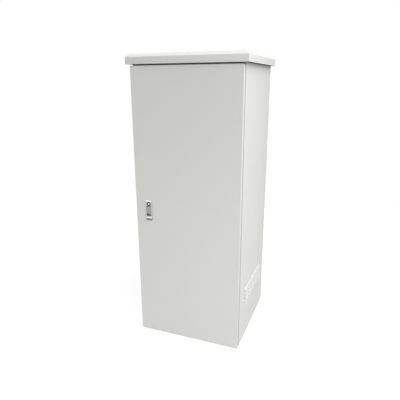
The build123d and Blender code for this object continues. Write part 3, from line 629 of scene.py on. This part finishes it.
# filter mat: foam pad with a flat back on the wall and a front that falls off to its rim by a quarter
# ellipse, with two crossed sine waves for the cut foam's unevenness
def makeMat(name, v, sign, node):
    spanY = np.linspace(v["lowY"], v["highY"], v["linesY"])
    spanZ = np.linspace(v["lowZ"], v["highZ"], v["linesZ"])
    y, z = np.meshgrid(spanY, spanZ)
    rim = np.minimum(np.minimum(y - v["lowY"], v["highY"] - y), np.minimum(z - v["lowZ"], v["highZ"] - z))
    fall = np.sqrt(1 - (1 - np.clip(rim / v["soft"], 0, 1)) ** 2)
    wave = v["wave"] * (1 + np.sin(y / v["waveY"]) * np.sin(z / v["waveZ"])) * fall
    front = v["wall"] - (v["wall"] - v["face"]) * fall + wave
    back = np.full_like(front, v["wall"])
    points = np.concatenate([np.stack([sign * x, y, z], -1) for x in (front, back)])
    faces = gridQuads(*y.shape)
    faces = np.concatenate([faces, faces[:, ::-1] + y.size])
    piece = newPiece(name, points, faces, "cabinet", "filter", [node])
    return piece


# widths in millimetres, angles in degrees: faces within the flat angle are one, and edges past the sharp
# angle are cut
edgeValues = dict(flat=1.0, sharp=38.0, cuts={
    (0.4, 2): ["lock_cam", "handle_clamp", "upper_rod", "lower_rod", "upper_guide", "lower_guide"],
    (0.5, 2): ["hood_bolts", "rail_bolts", "clamp_bolt", "earth_bar", "upper_keeper", "lower_keeper"],
    (0.5, 3): ["handle_dish"],
    (0.6, 2): ["back_wall", "hood_spacers", "upper_hinge_arm", "middle_hinge_arm", "lower_hinge_arm",
               "upper_hinge_pintle", "middle_hinge_pintle", "lower_hinge_pintle"],
    (0.8, 2): ["earth_insulators"],
    (1.0, 2): ["base_frame"],
    (1.2, 2): ["fan_housing"],
})  # width and segments of the rounding, and the CAD nodes that get it


# small rounding of the edges: flat triangles of a CAD node are joined first, so that only true edges are cut
def soften(piece, v, width, segments, weld=False):
    if weld:
        piece.modifiers.new("weld", "WELD").merge_threshold = mergeReach
        flat = piece.modifiers.new("flat", "DECIMATE")
        flat.decimate_type, flat.angle_limit = "DISSOLVE", math.radians(v["flat"])
    cut = piece.modifiers.new("edge", "BEVEL")
    cut.width, cut.segments = width * mm, segments
    cut.limit_method, cut.angle_limit = "ANGLE", math.radians(v["sharp"])
    cut.use_clamp_overlap = True


sealValues = dict(halfLength=sealHigh[0], middleY=(sealLow[1] + sealHigh[1]) / 2,
                  reach=(sealHigh[1] - sealLow[1]) / 2, low=sealLow[2], high=sealHigh[2], gap=0.15,
                  root=15.0, fingers=30, slit=0.5, thinner=1.0, edge=0.5, edgeSteps=2)


# cable seal: two rubber strips, each a solid root and a row of fingers that meet over the slot; every one of
# them is a unit box times its size, moved to its lowest corner
def makeSeal(v):
    unit = np.array([[0, 0, 0], [1, 0, 0], [1, 1, 0], [0, 1, 0], [0, 0, 1], [1, 0, 1], [1, 1, 1], [0, 1, 1]])
    sides = np.array([[0, 3, 2, 1], [4, 5, 6, 7], [0, 1, 5, 4], [1, 2, 6, 5], [2, 3, 7, 6], [3, 0, 4, 7]])
    step = 2 * v["halfLength"] / v["fingers"]
    thick = v["high"] - v["low"]
    starts = -v["halfLength"] + np.arange(v["fingers"]) * step
    ones = np.ones_like(starts)
    low = np.stack([starts + v["slit"] / 2, ones * v["gap"], ones * v["low"]], 1)
    size = np.broadcast_to([step - v["slit"], v["root"] - v["gap"], thick - v["thinner"]], low.shape)
    low = np.concatenate([low, [[-v["halfLength"], v["root"], v["low"]]]])
    size = np.concatenate([size, [[2 * v["halfLength"], v["reach"] - v["root"], thick]]])
    strip = low[:, None, :] + unit[None] * size[:, None, :]
    both = np.concatenate([strip, strip * [1, -1, 1]]) + [0, v["middleY"], 0]
    faces = (sides[None] + np.arange(len(both))[:, None, None] * len(unit)).reshape(-1, 4)
    piece = newPiece("cableSeal", both, faces, "cabinet", "rubber", ["cable_seal"])
    soften(piece, edgeValues, v["edge"], v["edgeSteps"])
    return piece


makeHood(hoodValues)
makeWall("rightWall", wallValues, 1.0, "right_wall")
makeWall("leftWall", wallValues, -1.0, "left_wall")
makeDoor(doorValues)
makeGasket(gasketValues)
print("sheet pieces made")
makeRail("frontRightRail", railValues, 1.0, 1.0, "front_right_rail")
makeRail("frontLeftRail", railValues, -1.0, 1.0, "front_left_rail")
makeRail("rearRightRail", railValues, 1.0, -1.0, "rear_right_rail")
makeRail("rearLeftRail", railValues, -1.0, -1.0, "rear_left_rail")
makeLever(leverValues)
makeLock(lockValues)
makeHoodShadeStrip(shadeStripValues)
makeSeamShadeStrip("rightSeamShadeStrip", shadeStripValues, 1.0)
makeSeamShadeStrip("leftSeamShadeStrip", shadeStripValues, -1.0)
makeFan(fanValues)
makeMat("rightFilterMat", matValues, 1.0, "right_filter_mat")
makeMat("leftFilterMat", matValues, -1.0, "left_filter_mat")
makeSeal(sealValues)
for (width, segments), names in edgeValues["cuts"].items():
    for name in names:
        soften(nodes[name], edgeValues, width, segments, weld=True)
print("inner pieces made")

cameraValues = dict(place=(0.7939, -2.1566, 1.4491), yaw=21.032, pitch=16.544, roll=-0.219, lens=35.75,
                    sensor=36.0)


# puts a camera or lamp at its place, with its axes along three directions
def placeAlong(thing, right, up, back, place):
    matrix = np.eye(4)
    matrix[:3] = np.stack([right, up, back, place], 1)
    thing.matrix_world = Matrix(matrix.tolist())
    bpy.context.scene.collection.objects.link(thing)


# camera: turned by the yaw, tilted down by the pitch, then turned about its line of sight by the roll
def makeCamera(v):
    yaw, pitch, roll = (math.radians(v[key]) for key in ("yaw", "pitch", "roll"))
    ahead = np.array([-math.sin(yaw) * math.cos(pitch), math.cos(yaw) * math.cos(pitch), -math.sin(pitch)])
    level = np.array([math.cos(yaw), math.sin(yaw), 0.0])
    above = np.cross(level, ahead)
    right = level * math.cos(roll) + above * math.sin(roll)
    up = above * math.cos(roll) - level * math.sin(roll)
    data = bpy.data.cameras.new("camera")
    data.lens, data.sensor_width = v["lens"], v["sensor"]
    camera = bpy.data.objects.new("camera", data)
    placeAlong(camera, right, up, -ahead, v["place"])
    bpy.context.scene.camera = camera


lightValues = dict(
    sky=0.20,
    lamps=[  # name, kind, place, point that it faces, width and height or angle, power
        ("topSun", "SUN", (-0.35, 0.05, 0.94), (0, 0, 0), (50, 50), 0.15),
        ("highSun", "SUN", (0.38, -0.10, 0.92), (0, 0, 0), (30, 30), 1.18),
        ("frontSun", "SUN", (0.65, -0.45, 0.60), (0, 0, 0), (40, 40), 1.77),
        ("rightSun", "SUN", (0.93, -0.05, 0.30), (0, 0, 0), (30, 30), 0.20),
        ("leftSun", "SUN", (-0.75, -0.45, 0.45), (0, 0, 0), (40, 40), 1.0),
        ("rearSun", "SUN", (-0.55, 0.65, 0.50), (0, 0, 0), (40, 40), 1.8),
        ("rightBox", "AREA", (2.0, -0.9, 2.9), (0.3, 0.0, 1.2), (1.6, 1.6), 15.5),
        ("sideBox", "AREA", (1.0, -0.32, 1.1), (0.3, -0.32, 0.9), (0.4, 2.0), 2.6),
        ("lowBox", "AREA", (0.9, -1.7, 0.3), (0.1, -0.3, 0.4), (0.8, 0.4), 5.2),
        ("frontBox", "AREA", (-0.3, -2.9, 0.25), (0.0, -0.3, 0.25), (2.4, 0.4), 12.0),
    ],
)


# 1 for rays that see the stage, straight, in a mirror or through glass, and 0 for rays that carry its light
def seenRays(tree):
    path = addNode(tree, "ShaderNodeLightPath").outputs
    mirrored = calc(tree, "MAXIMUM", path["Is Camera Ray"], path["Is Glossy Ray"])
    return calc(tree, "MAXIMUM", mirrored, path["Is Transmission Ray"])


# white where the camera, mirrors and glass look past the object, a plain grey where the sky lights it
def makeSky(v):
    world = bpy.data.worlds.new("sky")
    world.use_nodes = True
    bpy.context.scene.world = world
    tree = world.node_tree
    tree.nodes.clear()
    lit = addNode(tree, "ShaderNodeBackground", {"Color": (1, 1, 1, 1), "Strength": v["sky"]}).outputs[0]
    shown = addNode(tree, "ShaderNodeBackground", {"Color": (1, 1, 1, 1), "Strength": 1.0}).outputs[0]
    mixed = addNode(tree, "ShaderNodeMixShader", {0: seenRays(tree), 1: lit, 2: shown}).outputs[0]
    addNode(tree, "ShaderNodeOutputWorld", {"Surface": mixed})


# lamp: its back points away from what it faces, and its side stays level
def makeLamp(name, kind, place, target, size, power):
    data = bpy.data.lights.new(name, kind)
    data.energy = power
    if kind == "SUN":
        data.angle = math.radians(size[0])
    else:
        data.shape, data.size, data.size_y = "RECTANGLE", *size
    lamp = bpy.data.objects.new(name, data)
    back = np.array(place, float) - np.array(target, float)
    back /= np.linalg.norm(back)
    side = np.cross([0, 0, 1], back)
    side /= np.linalg.norm(side)
    placeAlong(lamp, side, np.cross(back, side), back, place)
    lamp.visible_camera = lamp.visible_glossy = False  # metal mirrors the white surroundings, not the lamps


# in metres; the floor's tone is one for rays that see it, and another for the light that it throws back
floorValues = dict(radius=3.0, hole=0.02, level=-0.0005, rings=8, sides=96, shown=0.22, bounce=0.25,
                   glow=0.80, fibreScale=60.0, fibreDetail=3.0, fibre=(0.3, 0.7, 0.99, 1.01), roughness=0.9)


# round pale floor: rings of points at growing radius, and a lid on the innermost
def makeFloor(v):
    rings, sides = v["rings"], v["sides"]
    turn = np.linspace(0, 2 * np.pi, sides, endpoint=False)[None, :]
    radius = np.linspace(v["hole"], v["radius"], rings)[:, None]
    x, y = radius * np.cos(turn), radius * np.sin(turn)
    points = np.stack([x, y, np.full_like(x, v["level"])], -1)
    faces = gridQuads(rings, sides, wrapCols=True)[:, ::-1].tolist() + [list(range(sides))]
    mesh = bpy.data.meshes.new("floor")
    mesh.from_pydata(points.reshape(-1, 3).tolist(), [], faces)
    floor = bpy.data.objects.new("floor", mesh)
    bpy.context.scene.collection.objects.link(floor)
    material = bpy.data.materials.new("floorPaper")
    material.use_nodes = True
    tree = material.node_tree
    seen = seenRays(tree)
    speck = remap(tree, noise(tree, objectPlace(tree), v["fibreScale"], v["fibreDetail"]), *v["fibre"])
    setInputs(tree, tree.nodes["Principled BSDF"], {
        "Base Color": calc(tree, "MULTIPLY", speck, remap(tree, seen, 0, 1, v["bounce"], v["shown"])),
        "Emission Strength": remap(tree, seen, 0, 1, 0, v["glow"]),
        "Emission Color": (1, 1, 1, 1),
        "Roughness": v["roughness"],
        "Specular IOR Level": 0.0,
    })
    mesh.materials.append(material)


makeCamera(cameraValues)
makeSky(lightValues)
for lamp in lightValues["lamps"]:
    makeLamp(*lamp)
makeFloor(floorValues)
bpy.context.scene.view_settings.view_transform = "Standard"
print("stage made")
